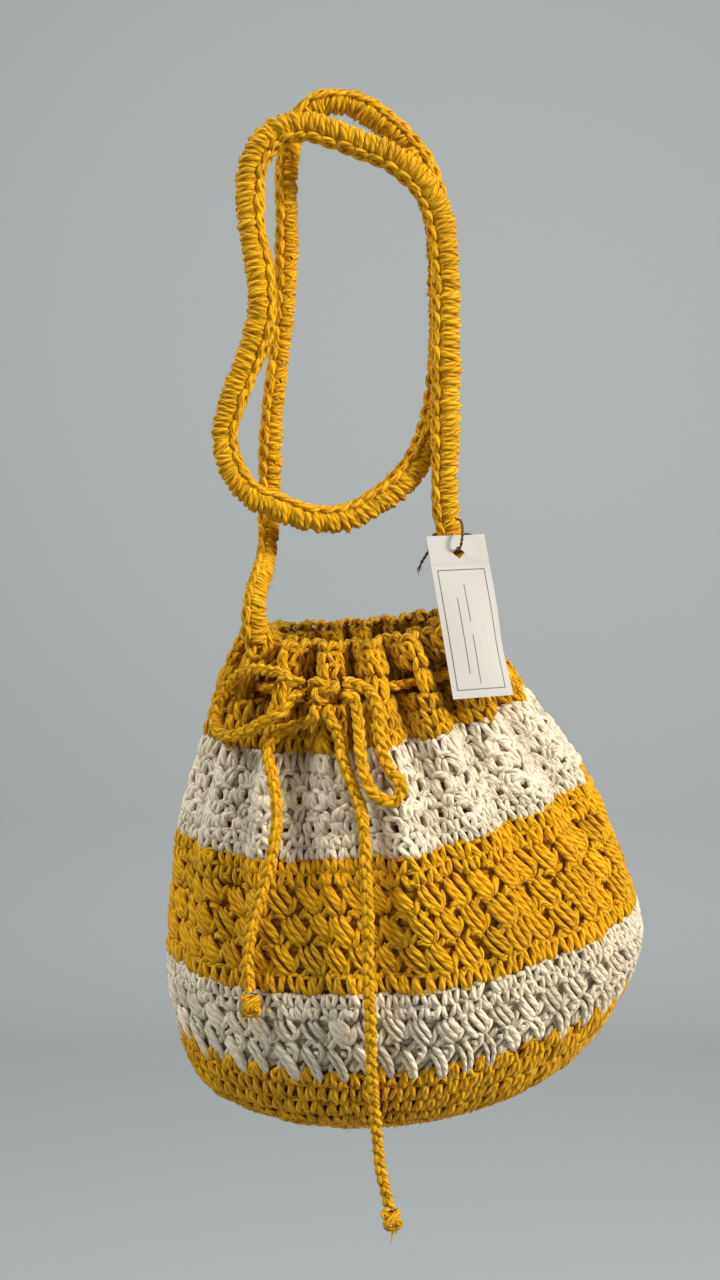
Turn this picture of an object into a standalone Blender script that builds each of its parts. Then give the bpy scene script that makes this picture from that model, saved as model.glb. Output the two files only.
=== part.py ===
# Crocheted drawstring bag in mustard and cream stripes, hung by its strap
# Metres, +Z up, front towards -Y, origin where the hanging strap is carried

import math
from collections import namedtuple

import bmesh
import bpy
from mathutils import Matrix, Vector

MM = 0.001

# Whole bag: its widest and its deepest section, and how far its base hangs below the carried point
BAG_WIDTH = 181.0 * MM
BAG_DEPTH = 114.0 * MM
HANG_HEIGHT = 388.0 * MM

# Fabric
WALL = 3.2 * MM
GAP = 0.3 * MM
STITCHES = 96
PLEATS = 16
PLEAT_ANGLE = math.radians(-83)
RIDGE = 0.5 * MM

# Rounds of crochet in each band, from the rim down
NECK_ROUNDS = 6
CREAM_UPPER_ROUNDS = 6
MIDDLE_ROUNDS = 8
CREAM_LOWER_ROUNDS = 5
BASE_ROUNDS = 12
NECK_END = NECK_ROUNDS
CREAM_UPPER_END = NECK_END + CREAM_UPPER_ROUNDS
MIDDLE_END = CREAM_UPPER_END + MIDDLE_ROUNDS
CREAM_LOWER_END = MIDDLE_END + CREAM_LOWER_ROUNDS
BASE_END = CREAM_LOWER_END + BASE_ROUNDS
ROUND_HEIGHT = 6.1 * MM

# Row of the drawstring, and the zigzag that ends the lower cream band
STRING_ROUND = 2.5
EYELET_ROUNDS = 1.7
TOOTH_ROUNDS = 0.7
CREASE_ANGLE = math.radians(-76)
CREASE_WIDTH = 0.3

# Cords and paper
STRAP_DIAMETER = 10.5 * MM
STRAP_LEFT_ANGLE = math.radians(-150.5)
STRAP_RIGHT_ANGLE = math.radians(-15.5)
STRAP_RISE = 15.0 * MM
STRING_DIAMETER = 4.6 * MM
TWINE_DIAMETER = 1.2 * MM
KNOT_PLEAT = -1
KNOT_SIZE = Vector((3.04, 2.09, 2.39)) * STRING_DIAMETER
KNOT_SEGMENTS = 16
END_KNOT_SIZE = Vector((1.74, 1.74, 2.17)) * STRING_DIAMETER
TAG_WIDTH = 23.0 * MM
TAG_LENGTH = 63.0 * MM
TAG_THICKNESS = 0.5 * MM
TAG_HOLE = 5.0 * MM
TAG_HOLE_DROP = 7.0 * MM
TAG_TILT = math.radians(-24)
TAG_LEAN = math.radians(-2)
TAG_YAW = math.radians(15)

# Sections of the hanging bag in millimetres: the round that each lies on, how far it reaches to the
# left, right, front and back, its height at those four places, and the depth of its pleats and crease
Section = namedtuple("Section", "round left right front back z_left z_right z_front z_back pleat crease")
SECTIONS = (
    Section(0.0, -34, 43, -31, 31, -195.5, -189.0, -197.7, -195.0, 6.2, 0.0),
    Section(2.5, -41, 54, -35, 35, -211.5, -203.0, -211.5, -209.0, 7.0, 0.0),
    Section(6.0, -50, 66, -43, 43, -233.5, -217.5, -232.5, -226.0, 4.2, 2.0),
    Section(12.0, -62, 91, -53, 53, -270.0, -248.0, -268.5, -259.5, 2.2, 4.0),
    Section(20.0, -68, 113, -57, 57, -318.5, -298.0, -316.5, -308.5, 0.5, 4.0),
    Section(25.0, -66, 112, -53, 53, -344.0, -324.0, -346.0, -336.0, 0.0, 2.0),
    Section(29.5, -53, 87, -40, 40, -370.5, -359.0, -371.5, -365.5, 0.0, 0.0),
    Section(37.0, 15, 16, -0.5, 0.5, -388.0, -388.0, -388.0, -388.0, 0.0, 0.0),
)

# How the millimetres of the sections and routes become the bag's own metres across, deep and tall
STRETCH = (
    BAG_WIDTH / max(cut.right - cut.left for cut in SECTIONS),
    BAG_DEPTH / max(cut.back - cut.front for cut in SECTIONS),
    HANG_HEIGHT / max(-cut.z_front for cut in SECTIONS),
)

YELLOW = (0.78, 0.40, 0.012)
CREAM = (0.85, 0.76, 0.58)
PAPER = (0.86, 0.82, 0.77)
TWINE = (0.10, 0.05, 0.02)


def clear_scene():
    for thing in list(bpy.data.objects):
        bpy.data.objects.remove(thing, do_unlink=True)


def new_collection(name):
    group = bpy.data.collections.new(name)
    bpy.context.scene.collection.children.link(group)
    return group


def make_material(name, colour, roughness):
    material = bpy.data.materials.new(name)
    material.use_nodes = True
    shader = material.node_tree.nodes["Principled BSDF"]
    shader.inputs["Base Color"].default_value = (*colour, 1.0)
    shader.inputs["Roughness"].default_value = roughness
    shader.inputs["Metallic"].default_value = 0.0
    return material


# Shape of the bag


def placed(x, y, z):
    """A point of the sections or routes, which are in millimetres, at its place on the bag."""
    return Vector(a * b for a, b in zip((x, y, z), STRETCH))


def section_at(round_number):
    """The bag's section on any round, by a smooth curve through the listed ones."""
    last = len(SECTIONS) - 2
    i = max(k for k in range(last + 1) if SECTIONS[k].round <= max(round_number, 0.0))
    a, b = SECTIONS[i], SECTIONS[i + 1]
    before, after = SECTIONS[max(i - 1, 0)], SECTIONS[min(i + 2, last + 1)]
    span = b.round - a.round
    s = (round_number - a.round) / span
    values = []
    for p, q, r, w in zip(before, a, b, after):
        slope_a = (r - p) / (b.round - before.round) * span
        slope_b = (w - q) / (after.round - a.round) * span
        near = (2 * s**3 - 3 * s**2 + 1) * q + (s**3 - 2 * s**2 + s) * slope_a
        far = (-2 * s**3 + 3 * s**2) * r + (s**3 - s**2) * slope_b
        values.append(near + far)
    return Section(*values)


def bag_point(angle, round_number, folds=1.0):
    """A point on the middle of the wall; angle 0 is the right side, and folds scales the pleats."""
    cut = section_at(round_number)
    half_width = (cut.right - cut.left) / 2
    half_depth = (cut.back - cut.front) / 2
    lean = (half_width - half_depth) / (half_width + half_depth)
    turn = angle + lean / 2 * math.sin(2 * angle)
    pleat = cut.pleat * folds * math.cos(PLEATS * (angle - PLEAT_ANGLE))
    away = math.remainder(angle - CREASE_ANGLE, math.tau)
    reach = pleat + cut.crease * math.exp(-((away / CREASE_WIDTH) ** 2))
    x = (cut.right + cut.left) / 2 + (half_width + reach) * math.cos(turn)
    y = (cut.back + cut.front) / 2 + (half_depth + reach) * math.sin(turn)
    mean = (cut.z_left + cut.z_right + cut.z_front + cut.z_back) / 4
    tilt = (cut.z_right - cut.z_left) / 2 * math.cos(turn)
    nod = (cut.z_back - cut.z_front) / 2 * math.sin(turn)
    saddle = (cut.z_left + cut.z_right - cut.z_front - cut.z_back) / 4 * math.cos(2 * turn)
    return placed(x, y, mean + tilt + nod + saddle)


def outward(angle, round_number):
    """The direction out of the wall, with its pleats smoothed away."""
    along = bag_point(angle + 0.05, round_number, 0.0) - bag_point(angle - 0.05, round_number, 0.0)
    down = bag_point(angle, round_number + 0.3, 0.0) - bag_point(angle, round_number - 0.3, 0.0)
    return down.cross(along).normalized()


# One ring of mesh vertices: its round, how many columns it has, how far its ridge stands out, the
# share of a column by which gap corners close in, how far its zigzag reaches down in rounds, and the
# share of a column by which its vertices crowd towards the pleats' crests and valleys
Ring = namedtuple("Ring", "round columns ridge pinch tooth crowd", defaults=(0.0, 0.0, 0.0, 0.0))


def ring_points(ring, side, gaps):
    """A ring's points on the outer face (side 1) or the inner face (side -1) of the wall."""
    pitch = math.tau / ring.columns
    points = []
    for j in range(ring.columns):
        angle = PLEAT_ANGLE + j * pitch
        angle -= pitch * ring.crowd * math.sin(2 * PLEATS * (angle - PLEAT_ANGLE))
        if ring.pinch:
            angle += pitch * ring.pinch * ((j in gaps) - ((j - 1) % ring.columns in gaps))
        round_number = ring.round + ring.tooth * (j % 2)
        reach = WALL / 2 + ring.ridge
        points.append(bag_point(angle, round_number) + outward(angle, round_number) * side * reach)
    return points


def join_rings(mesh, upper, lower, gaps, flip):
    """Faces between two rings of vertices with equal columns, or with twice as many on one."""
    most = max(len(upper), len(lower))
    for j in range(most):
        if j in gaps:
            continue
        k = (j + 1) % most
        if len(upper) == len(lower):
            corners = [upper[j], lower[j], lower[k], upper[k]]
        elif len(upper) > len(lower):
            near, far = lower[j // 2], lower[((j + 1) // 2) % len(lower)]
            corners = [upper[j], near, upper[k]] if near is far else [upper[j], near, far, upper[k]]
        else:
            near, far = upper[j // 2], upper[((j + 1) // 2) % len(upper)]
            corners = [near, lower[j], lower[k]] if near is far else [near, lower[j], lower[k], far]
        mesh.faces.new(corners[::-1] if flip else corners)


def make_band(name, rings, gaps, material, group, closed=False):
    """A band of the wall as one solid. gaps maps a ring's index to the columns left open below it."""
    mesh = bmesh.new()
    faces = {}
    for side in (1, -1):
        rows = []
        for i, ring in enumerate(rings):
            edge_gaps = gaps.get(i - 1, ())
            rows.append([mesh.verts.new(p) for p in ring_points(ring, side, edge_gaps)])
        faces[side] = rows
        for i in range(len(rings) - 1):
            join_rings(mesh, rows[i], rows[i + 1], gaps.get(i, ()), side < 0)
        if closed:
            centre = sum((v.co for v in rows[-1]), Vector()) / len(rows[-1])
            tip = mesh.verts.new(centre)
            for j, vertex in enumerate(rows[-1]):
                corners = [vertex, tip, rows[-1][(j + 1) % len(rows[-1])]]
                mesh.faces.new(corners if side > 0 else corners[::-1])
    outer, inner = faces[1], faces[-1]
    for rows in ((0,) if closed else (0, -1)):
        count = len(outer[rows])
        for j in range(count):
            k = (j + 1) % count
            corners = [outer[rows][j], outer[rows][k], inner[rows][k], inner[rows][j]]
            mesh.faces.new(corners if rows == 0 else corners[::-1])
    for i, columns in gaps.items():
        count = rings[i].columns
        for j in columns:
            k = (j + 1) % count
            sides = [((i, j), (i, k)), ((i + 1, k), (i + 1, j))]
            if (j - 1) % count not in columns:
                sides.append(((i + 1, j), (i, j)))
            if k not in columns:
                sides.append(((i, k), (i + 1, k)))
            for a, b in sides:
                ring_a, ring_b = outer[a[0]][a[1]], outer[b[0]][b[1]]
                mesh.faces.new([ring_b, ring_a, inner[a[0]][a[1]], inner[b[0]][b[1]]])
    bmesh.ops.recalc_face_normals(mesh, faces=mesh.faces)
    data = bpy.data.meshes.new(name)
    mesh.to_mesh(data)
    mesh.free()
    data.shade_smooth()
    data.set_sharp_from_angle(angle=math.radians(60))
    band = bpy.data.objects.new(name, data)
    band.data.materials.append(material)
    group.objects.link(band)
    return band


EDGE = GAP / 2 / ROUND_HEIGHT


def make_neck(material, group):
    columns = PLEATS * 8
    top = STRING_ROUND - EYELET_ROUNDS / 2
    bottom = STRING_ROUND + EYELET_ROUNDS / 2
    rounds = (0.0, top / 2, top, bottom, (bottom + NECK_END) / 2, NECK_END - 3 * EDGE)
    ridges = (RIDGE, 0.0, RIDGE, 0.0, RIDGE, 0.0)
    rings = [Ring(r, columns, ridge, crowd=0.25) for r, ridge in zip(rounds, ridges)]
    eyelets = {j for j in range(columns) if j % 8 in (1, 2, 5, 6)}
    return make_band("neck_yellow", rings, {2: eyelets}, material, group)


def make_cream_upper(material, group):
    start, end = NECK_END, CREAM_UPPER_END
    span = end - start
    rings = [
        Ring(start + EDGE, STITCHES),
        Ring(start + 0.2 * span, STITCHES, RIDGE),
        Ring(start + 0.38 * span, STITCHES),
        Ring(start + 0.51 * span, STITCHES, RIDGE, 0.3),
        Ring(start + 0.62 * span, STITCHES),
        Ring(start + 0.76 * span, STITCHES, RIDGE, 0.3),
        Ring(end - EDGE, STITCHES // 2),
    ]
    first = set(range(0, STITCHES, 2))
    second = set(range(1, STITCHES, 2))
    return make_band("band_cream_upper", rings, {2: first, 4: second}, material, group)


def make_middle(material, group):
    start, end = CREAM_UPPER_END, MIDDLE_END
    rings = [Ring(start + EDGE, STITCHES // 2)]
    for k in range(1, MIDDLE_ROUNDS):
        rings.append(Ring(start + k, STITCHES // 2, RIDGE * (k % 2)))
    rings.append(Ring(end - EDGE, STITCHES // 2))
    return make_band("band_yellow_middle", rings, {}, material, group)


def make_cream_lower(material, group):
    start, end = MIDDLE_END, CREAM_LOWER_END
    rings = [Ring(start + EDGE, STITCHES // 2)]
    for k in range(1, CREAM_LOWER_ROUNDS):
        rings.append(Ring(start + k, STITCHES // 2, RIDGE * (k % 2)))
    rings.append(Ring(end - 1.5 * EDGE, STITCHES, tooth=TOOTH_ROUNDS))
    return make_band("band_cream_lower", rings, {}, material, group)


def make_base(material, group):
    start, end = CREAM_LOWER_END, BASE_END
    rings = [Ring(start + 1.5 * EDGE, STITCHES, tooth=TOOTH_ROUNDS)]
    for k in range(2, BASE_ROUNDS - 3):
        rings.append(Ring(start + k, STITCHES // 2, RIDGE * (k % 2)))
    rings.append(Ring(end - 2.2, STITCHES // 2))
    rings.append(Ring(end - 0.9, STITCHES // 4))
    return make_band("base_yellow", rings, {}, material, group, closed=True)


# Cords


def smooth_route(points, spacing):
    """Evenly spaced points on a smooth curve through the route's own points, with straight ends."""
    fine = []
    for a, b, c, d in zip(points, points[1:], points[2:], points[3:]):
        for k in range(24):
            s = k / 24
            bend = (2 * b) + (c - a) * s + (2 * a - 5 * b + 4 * c - d) * s**2
            fine.append((bend + (3 * b - a - 3 * c + d) * s**3) / 2)
    fine.append(points[-2])
    reach = [0.0]
    for a, b in zip(fine, fine[1:]):
        reach.append(reach[-1] + (b - a).length)
    count = max(3, round(reach[-1] / spacing) + 1)
    route = [points[0]]
    for k in range(count):
        goal = reach[-1] * k / (count - 1)
        i = max(j for j in range(len(fine) - 1) if reach[j] <= goal + 1e-12)
        route.append(fine[i].lerp(fine[i + 1], (goal - reach[i]) / (reach[i + 1] - reach[i])))
    return [*route, points[-1]]


def make_cord(name, points, diameter, spacing, material, group, sides=2):
    """A cord as a round tube along its route."""
    route = smooth_route(points, spacing)
    data = bpy.data.curves.new(name, "CURVE")
    data.dimensions = "3D"
    data.bevel_depth = diameter / 2
    data.bevel_resolution = sides
    data.use_fill_caps = True
    spline = data.splines.new("POLY")
    spline.points.add(len(route) - 1)
    for point, place in zip(spline.points, route):
        point.co = (*place, 1.0)
    cord = bpy.data.objects.new(name, data)
    cord.data.materials.append(material)
    group.objects.link(cord)
    return cord


# Routes in millimetres, chosen by hand; their ends come from what they meet
STRAP_ROUTE = (
    (-30.2, 0, -163.0), (-29.3, 5, -143.0), (-28.2, 6, -111.6), (-23.6, 5, -73.6),
    (-22.0, 6, -43.4), (-22.3, 7, -24.5), (-20.3, 8, -5.7), (-12.7, 8, 5.5), (0.0, 8, 7.9),
    (15.2, 8, -0.2), (28.6, 8, -14.5), (35.2, 8, -35.5), (36.9, 8, -65.6), (35.9, 7, -103.8),
    (30.8, 3, -123.3), (19.1, -2, -138.7), (-2.0, -6, -150.2), (-20.9, -9, -147.2),
    (-37.9, -9, -138.9), (-45.8, -8, -121.9), (-42.6, -8, -105.2), (-32.5, -8, -79.2),
    (-31.8, -8, -60.9), (-35.4, -7, -38.8), (-34.5, -7, -19.0), (-27.0, -7, -8.2),
    (-12.9, -7, -4.5), (1.9, -7, -10.0), (18.6, -7, -16.4), (30.9, -7, -28.2),
    (37.4, -6, -48.9), (38.6, -6, -105.0), (39.0, -6, -148.0),
)
LOOP_LEFT_ROUTE = (
    (-20.0, -44.0, -205.3), (-27.5, -38.5, -204.2), (-34.5, -32.0, -204.6), (-41.5, -26.0, -209.0),
    (-46.5, -22.0, -216.5), (-49.0, -22.5, -224.5), (-45.5, -29.5, -229.0), (-37.0, -38.5, -227.0),
    (-29.5, -45.0, -222.0), (-21.5, -48.0, -217.0),
)
LOOP_RIGHT_ROUTE = (
    (8.0, -48.5, -209.0), (12.0, -51.5, -217.0), (12.5, -54.5, -227.0), (15.9, -57.5, -236.5),
    (20.3, -59.5, -242.0), (19.5, -60.5, -246.5), (13.0, -60.5, -247.0), (7.7, -58.0, -240.0),
    (5.9, -55.5, -231.0), (5.2, -51.5, -221.0),
)
TAIL_LEFT_ROUTE = (
    (-11.5, -44.5, -221.0), (-18.0, -43.0, -224.0), (-25.0, -41.8, -226.8), (-27.2, -43.5, -232.0),
    (-26.2, -46.8, -239.0), (-24.6, -49.3, -246.0), (-23.8, -52.0, -256.0), (-25.5, -53.5, -268.0),
    (-29.6, -53.5, -282.5), (-33.4, -52.5, -297.0), (-34.7, -51.7, -310.0), (-34.0, -51.6, -318.3),
)
TAIL_RIGHT_ROUTE = (
    (-2.6, -49.0, -223.0), (-0.9, -53.0, -232.0), (2.0, -55.6, -240.0), (5.2, -57.8, -248.0),
    (6.8, -60.0, -256.0), (7.2, -61.6, -265.0), (8.4, -63.4, -286.5), (8.4, -63.6, -305.0),
    (9.1, -63.0, -323.0), (9.6, -60.8, -340.0), (10.2, -58.0, -353.0), (11.5, -54.8, -368.0),
    (13.2, -52.5, -385.0), (16.2, -51.5, -399.5),
)
TAG_PIVOT = (42.0, -19.5, -161.2)
TWINE_ROUTE = (
    (28.5, -15.5, -166.5), (31.3, -15.8, -161.8), (33.5, -14.8, -158.0), (33.4, -11.5, -156.3),
    (33.9, -7.0, -155.8), (36.2, -2.3, -155.6), (40.8, -0.4, -155.5), (45.7, -2.2, -155.6),
    (48.1, -7.3, -156.0), (47.2, -12.2, -157.8), (44.5, -15.8, -161.2), (41.2, -16.6, -162.6),
    TAG_PIVOT, (42.8, -22.4, -159.9), (43.4, -22.5, -156.5), (43.7, -19.5, -152.8),
    (43.2, -16.2, -150.3), (41.5, -14.0, -149.5),
)


def rim_seat(angle):
    """Where a strap end of full width sits, just clear of the pleated rim's top edge."""
    centre = bag_point(angle, 0.0)
    edge = [angle + math.radians(d) for d in range(-12, 13, 2)]
    top = max((bag_point(a, 0.0) + outward(a, 0.0) * (WALL / 2 + RIDGE)).z for a in edge)
    return Vector((centre.x, centre.y, top + GAP))


def knot_angle():
    return PLEAT_ANGLE + KNOT_PLEAT * math.tau / PLEATS


def knot_turn():
    """The bow knot's own directions: along the wall, into it and up it."""
    inward = -outward(knot_angle(), STRING_ROUND)
    along = Vector((inward.y, -inward.x, 0.0)).normalized()
    return Matrix((along, inward, along.cross(inward))).transposed()


def beside_knot(right, inward, up):
    """A place given from the bow knot's centre, along the wall, into it and up it."""
    lift = WALL / 2 + RIDGE + GAP + KNOT_SIZE.y / 2
    crest = bag_point(knot_angle(), STRING_ROUND)
    return crest + knot_turn() @ Vector((right, inward - lift, up))


def make_knot(name, centre, size, turn, material, group):
    """A knot as a rounded lump; turn is its rotation matrix."""
    mesh = bmesh.new()
    bmesh.ops.create_uvsphere(mesh, u_segments=KNOT_SEGMENTS, v_segments=10, radius=0.5)
    for vertex in mesh.verts:
        vertex.co = Vector(a * b for a, b in zip(vertex.co, size))
    data = bpy.data.meshes.new(name)
    mesh.to_mesh(data)
    mesh.free()
    data.shade_smooth()
    knot = bpy.data.objects.new(name, data)
    knot.location = centre
    knot.rotation_euler = turn.to_euler()
    knot.data.materials.append(material)
    group.objects.link(knot)
    return knot


def along(route):
    return [placed(*point) for point in route]


def make_strap(material, group):
    left, right = rim_seat(STRAP_LEFT_ANGLE), rim_seat(STRAP_RIGHT_ANGLE)
    rise = Vector((0.0, 0.0, STRAP_RISE))
    route = [left, left + rise, *along(STRAP_ROUTE), right + rise, right]
    return make_cord("strap", route, STRAP_DIAMETER, 1.2 * STRAP_DIAMETER, material, group, sides=3)


def make_bow(material, group):
    centre = beside_knot(0.0, 0.0, 0.0)
    make_knot("bow_knot", centre, KNOT_SIZE, knot_turn(), material, group)
    side = KNOT_SIZE.x / 2 + GAP
    foot = KNOT_SIZE.z / 2 + GAP
    step = STRING_DIAMETER / 2 + GAP
    lead = 0.8 * STRING_DIAMETER
    spacing = 1.6 * STRING_DIAMETER
    for name, way, route in (
        ("bow_loop_left", -1, LOOP_LEFT_ROUTE),
        ("bow_loop_right", 1, LOOP_RIGHT_ROUTE),
    ):
        out = [beside_knot(way * reach, 0.0, step) for reach in (side, side + lead)]
        back = [beside_knot(way * reach, 0.0, -step) for reach in (side + lead, side)]
        points = [*out, *along(route), *back]
        make_cord(name, points, STRING_DIAMETER, spacing, material, group)
    for name, way, route in (
        ("left", -1, TAIL_LEFT_ROUTE),
        ("right", 1, TAIL_RIGHT_ROUTE),
    ):
        out = [beside_knot(way * step, 0.0, -reach) for reach in (foot, foot + lead)]
        points = [*out, *along(route)]
        make_cord("tail_" + name, points, STRING_DIAMETER, 2 * STRING_DIAMETER, material, group)
        down = (points[-1] - points[-2]).normalized()
        middle = points[-1] + down * (END_KNOT_SIZE.z / 2 + GAP)
        turn = down.to_track_quat("-Z", "Y").to_matrix()
        make_knot("end_knot_" + name, middle, END_KNOT_SIZE, turn, material, group)


def make_drawstring(material, group):
    """The run leaves the knot's back, dips into a valley and threads the eyelets round the neck."""
    pleat = math.tau / PLEATS
    start = knot_angle()
    steps = [0.6, *(0.5 * k for k in range(2, 2 * PLEATS - 1)), PLEATS - 0.6]
    ring = [bag_point(start + pleat * k, STRING_ROUND, 0.0) for k in steps]
    side = 0.46 * KNOT_SIZE.x
    back = 0.45 * KNOT_SIZE.y + GAP
    out = [beside_knot(side, reach, 0.0) for reach in (back, 2.0 * back)]
    home = [beside_knot(-side, reach, 0.0) for reach in (2.0 * back, back)]
    points = [*out, *ring, *home]
    return make_cord("drawstring", points, STRING_DIAMETER, 1.4 * STRING_DIAMETER, material, group)


def make_tag(paper, group):
    """A card with a diamond hole, hung with the hole's top corner on the twine."""
    seat = (TWINE_DIAMETER / 2 + GAP) * math.sqrt(2)
    half = TAG_HOLE / 2
    hole_y = seat - half
    top, side = hole_y + TAG_HOLE_DROP, TAG_WIDTH / 2
    edge = ((-side, top), (-side, top - TAG_LENGTH), (side, top - TAG_LENGTH), (side, top))
    hole = ((0.0, hole_y + half), (half, hole_y), (0.0, hole_y - half), (-half, hole_y))
    data = bpy.data.curves.new("tag", "CURVE")
    data.dimensions = "2D"
    data.fill_mode = "BOTH"
    data.extrude = TAG_THICKNESS / 2
    for outline in (edge, hole):
        spline = data.splines.new("POLY")
        spline.points.add(len(outline) - 1)
        spline.use_cyclic_u = True
        for point, place in zip(spline.points, outline):
            point.co = (*place, 0.0, 1.0)
    tag = bpy.data.objects.new("tag", data)
    upright = Matrix.Rotation(math.radians(90), 3, "X")
    lean = Matrix.Rotation(TAG_LEAN, 3, "Y")
    tilt = Matrix.Rotation(TAG_TILT, 3, "X")
    yaw = Matrix.Rotation(TAG_YAW, 3, "Z")
    tag.rotation_euler = (yaw @ tilt @ lean @ upright).to_euler()
    tag.location = placed(*TAG_PIVOT)
    tag.data.materials.append(paper)
    group.objects.link(tag)
    return tag


def main():
    clear_scene()
    group = new_collection("crocheted_drawstring_bag")
    yellow = make_material("mustard_cotton", YELLOW, 0.9)
    cream = make_material("cream_cotton", CREAM, 0.9)
    paper = make_material("tag_paper", PAPER, 0.7)
    twine = make_material("brown_twine", TWINE, 0.85)
    make_base(yellow, group)
    make_cream_lower(cream, group)
    make_middle(yellow, group)
    make_cream_upper(cream, group)
    make_neck(yellow, group)
    make_strap(yellow, group)
    make_drawstring(yellow, group)
    make_bow(yellow, group)
    make_tag(paper, group)
    make_cord("tag_string", along(TWINE_ROUTE), TWINE_DIAMETER, 2 * TWINE_DIAMETER, twine, group)


main()
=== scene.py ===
# Looks of the crocheted drawstring bag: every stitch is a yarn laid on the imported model's own wall

import math

import bmesh
import bpy
import numpy as np
from mathutils import Matrix, Vector


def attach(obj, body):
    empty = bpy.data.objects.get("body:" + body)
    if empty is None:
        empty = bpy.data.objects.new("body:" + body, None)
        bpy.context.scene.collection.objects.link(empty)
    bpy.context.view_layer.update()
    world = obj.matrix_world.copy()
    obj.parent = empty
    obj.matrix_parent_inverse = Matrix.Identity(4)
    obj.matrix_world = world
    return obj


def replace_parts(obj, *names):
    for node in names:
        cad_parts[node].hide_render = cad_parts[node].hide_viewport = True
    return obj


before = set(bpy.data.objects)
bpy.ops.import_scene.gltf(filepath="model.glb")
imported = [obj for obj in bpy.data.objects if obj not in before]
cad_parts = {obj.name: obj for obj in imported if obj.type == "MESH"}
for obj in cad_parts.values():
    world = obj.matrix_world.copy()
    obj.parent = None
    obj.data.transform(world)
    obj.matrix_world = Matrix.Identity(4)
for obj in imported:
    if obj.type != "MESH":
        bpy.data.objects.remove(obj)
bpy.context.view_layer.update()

MM = 0.001
rng = np.random.default_rng(7)

# Same values as the part's source, with lengths in millimetres
WALL = 3.2
RIDGE = 0.5
GAP = 0.3
ROUND_HEIGHT = 6.1
STITCHES = 96
PLEATS = 16
PLEAT_ANGLE = math.radians(-83)
CREASE_ANGLE = math.radians(-76)
CREASE_WIDTH = 0.3
TOOTH = 0.7
STRAP_DIAMETER = 10.5
STRING_DIAMETER = 4.6
TWINE_DIAMETER = 1.2
KNOT_SIZE = (13.98, 9.61, 10.99)
END_KNOT = 9.98
STRING_ROUND = 2.5
NECK_END, UPPER_END, MIDDLE_END, LOWER_END, LAST_ROUND = 6.0, 12.0, 20.0, 25.0, 37.0

# Sections: round, left, right, front, back, heights at those four places, pleat, crease
SECTIONS = np.array((
    (0.0, -34, 43, -31, 31, -195.5, -189.0, -197.7, -195.0, 6.2, 0.0),
    (2.5, -41, 54, -35, 35, -211.5, -203.0, -211.5, -209.0, 7.0, 0.0),
    (6.0, -50, 66, -43, 43, -233.5, -217.5, -232.5, -226.0, 4.2, 2.0),
    (12.0, -62, 91, -53, 53, -270.0, -248.0, -268.5, -259.5, 2.2, 4.0),
    (20.0, -68, 113, -57, 57, -318.5, -298.0, -316.5, -308.5, 0.5, 4.0),
    (25.0, -66, 112, -53, 53, -344.0, -324.0, -346.0, -336.0, 0.0, 2.0),
    (29.5, -53, 87, -40, 40, -370.5, -359.0, -371.5, -365.5, 0.0, 0.0),
    (37.0, 15, 16, -0.5, 0.5, -388.0, -388.0, -388.0, -388.0, 0.0, 0.0),
))

# Radius of the bag's yarn in close rows, and in crossed and paired stitches, where it is looser
YARN = 1.16
LOOSE = 1.24
SIDES = 5
YARN_YELLOW = (0.97, 0.525, 0.008)
YARN_CREAM = (0.95, 0.85, 0.65)

# The soft dent to the left of the crease and the swell at its right, which the solids leave out
DENT_ANGLE, DENT_WIDTH, DENT_DEPTH = math.radians(-105), 0.20, 4.4
SWELL_ANGLE, SWELL_WIDTH, SWELL_HEIGHT = DENT_ANGLE + 0.40, 0.13, 2.0


# The wall


def section_at(rounds):
    """Sections at many rounds at once, one row each."""
    rounds = np.clip(rounds, 0.0, LAST_ROUND)
    at = SECTIONS[:, 0]
    i = np.clip(np.searchsorted(at, rounds, side="right") - 1, 0, len(at) - 2)
    a, b = SECTIONS[i], SECTIONS[i + 1]
    before, after = SECTIONS[np.maximum(i - 1, 0)], SECTIONS[np.minimum(i + 2, len(at) - 1)]
    span = (b[:, 0] - a[:, 0])[:, None]
    s = ((rounds - a[:, 0]) / (b[:, 0] - a[:, 0]))[:, None]
    slope_a = (b - before) / (b[:, :1] - before[:, :1]) * span
    slope_b = (after - a) / (after[:, :1] - a[:, :1]) * span
    near = (2 * s**3 - 3 * s**2 + 1) * a + (s**3 - 2 * s**2 + s) * slope_a
    return near + (-2 * s**3 + 3 * s**2) * b + (s**3 - s**2) * slope_b


def pleat_share(rounds):
    """The depth of the pleats at many rounds, as a share of the deepest."""
    return section_at(rounds)[:, 9] / 7.0


def angle_gap(angle, other):
    return np.remainder(angle - other + math.pi, math.tau) - math.pi


def hollow(angle, rounds):
    """How far the wall stands out from the solids' own, at the dent and the swell."""
    share = np.exp(-(((rounds - 12.0) / 6.0) ** 2)) * np.clip((rounds - 4.0) / 3.0, 0, 1)
    dent = np.exp(-((angle_gap(angle, DENT_ANGLE) / DENT_WIDTH) ** 2))
    swell = np.exp(-((angle_gap(angle, SWELL_ANGLE) / SWELL_WIDTH) ** 2))
    return share * (SWELL_HEIGHT * swell - DENT_DEPTH * dent)


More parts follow.
